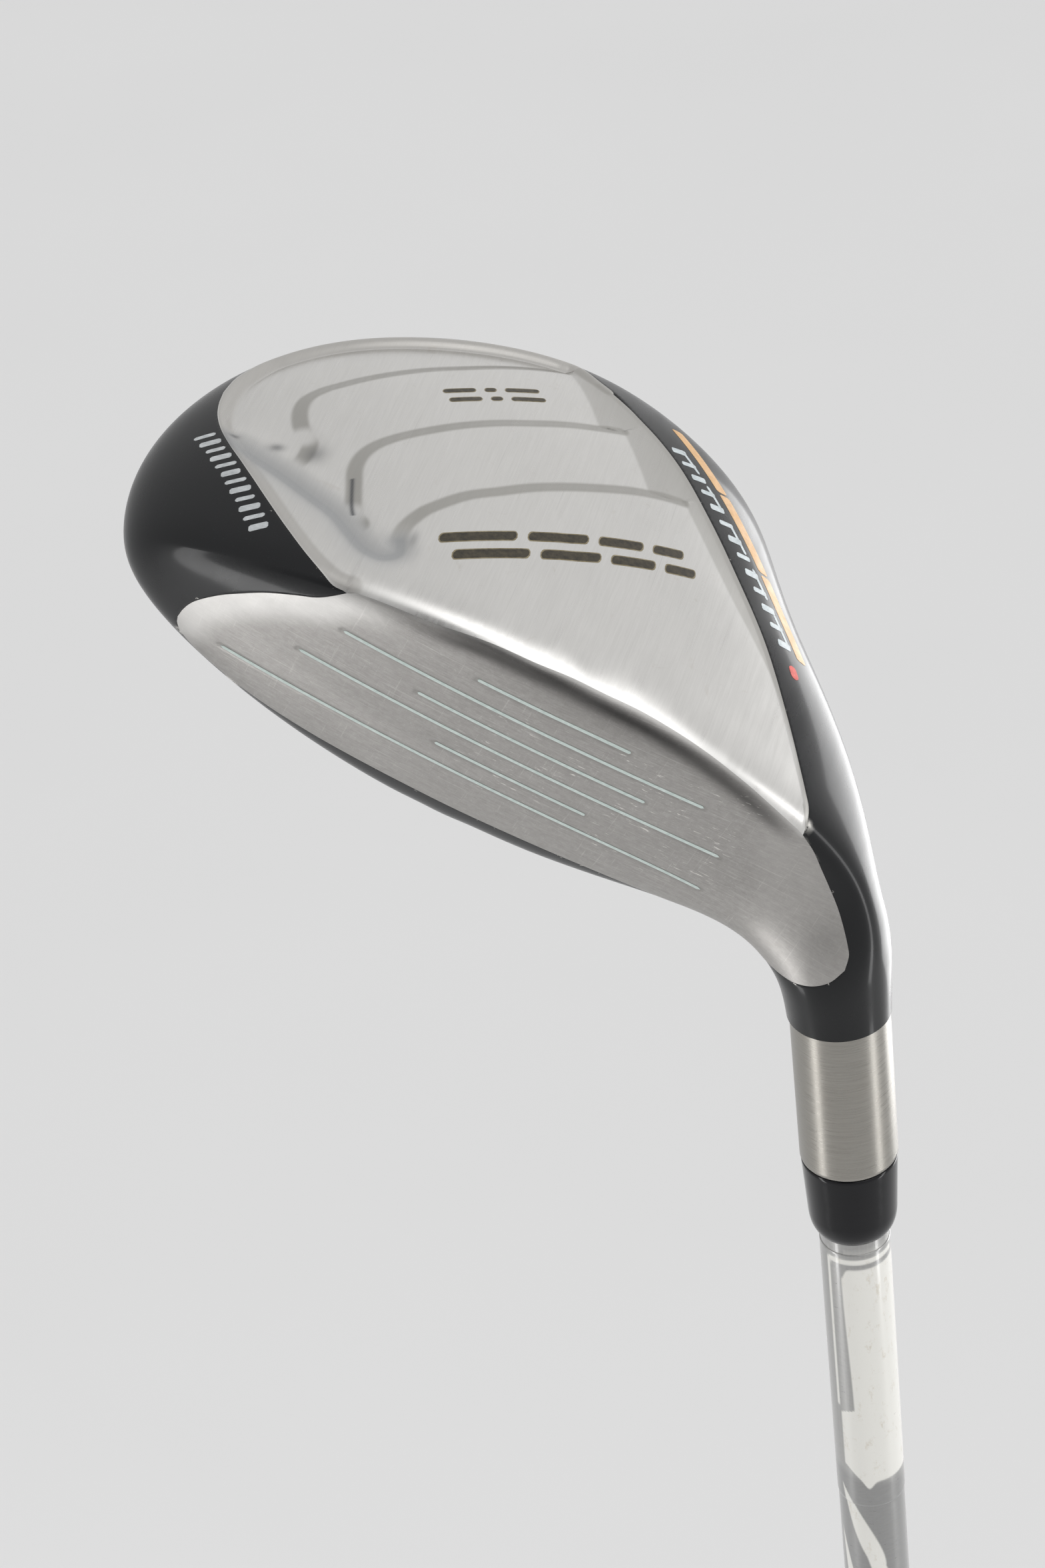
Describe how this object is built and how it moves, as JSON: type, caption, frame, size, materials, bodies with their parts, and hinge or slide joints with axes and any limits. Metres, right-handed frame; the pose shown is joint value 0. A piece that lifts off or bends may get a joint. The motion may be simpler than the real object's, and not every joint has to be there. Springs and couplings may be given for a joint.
{
  "type": "hybrid golf club",
  "caption": "Left-handed hybrid golf club: small hollow steel head with stepped sole, bonded hosel and ferrule, graphite shaft and rubber grip.",
  "frame": {"origin": "centre of the grip cap's butt face, in the mouth of the vent hole, on the shaft axis", "axes": "+Z along the shaft axis from the butt to the head; -Y the way the face looks; -X towards the toe"},
  "size_m": [0.0933, 0.0643, 1.0664],
  "materials": {
    "body_paint": "gloss black paint over cast steel, brushed bare ring on the hosel",
    "face_steel": "machined and brushed steel",
    "sole_steel": "fine brushed steel",
    "weight_steel": "raw dense steel",
    "melt": "soft tacky hot melt",
    "line_paint": "pale paint fill",
    "mark_dark": "dark paint fill",
    "mark_light": "white paint fill",
    "plug": "cork composite",
    "epoxy": "cured epoxy",
    "ferrule": "gloss black",
    "shaft": "clear-coated silver grey over carbon fibre",
    "tip_weight": "turned brass",
    "label": "printed film under clear coat",
    "tape": "paper backed tape",
    "grip_rubber": "matt moulded rubber",
    "cap_rubber": "satin moulded rubber",
    "grip_paint": "white paint"
  },
  "bodies": {
    "root": {"head_body": "body_paint", "face_plate": "face_steel", "sole_plate": "sole_steel", "sole_weight": "weight_steel", "hot_melt": "melt", "score_line_fill": "line_paint", "sole_mark_fill": "mark_dark", "toe_mark_fill": "mark_light", "heel_mark_fill": "mark_light", "hosel_plug": "plug", "hosel_epoxy": "epoxy", "ferrule": "ferrule", "shaft": "shaft", "tip_weight": "tip_weight", "shaft_tip_label": "label", "shaft_upper_label": "label", "grip_tape": "tape", "grip_sleeve": "grip_rubber", "grip_ring_fill": "grip_paint", "grip_cap": "cap_rubber"}
  },
  "joints": []
}
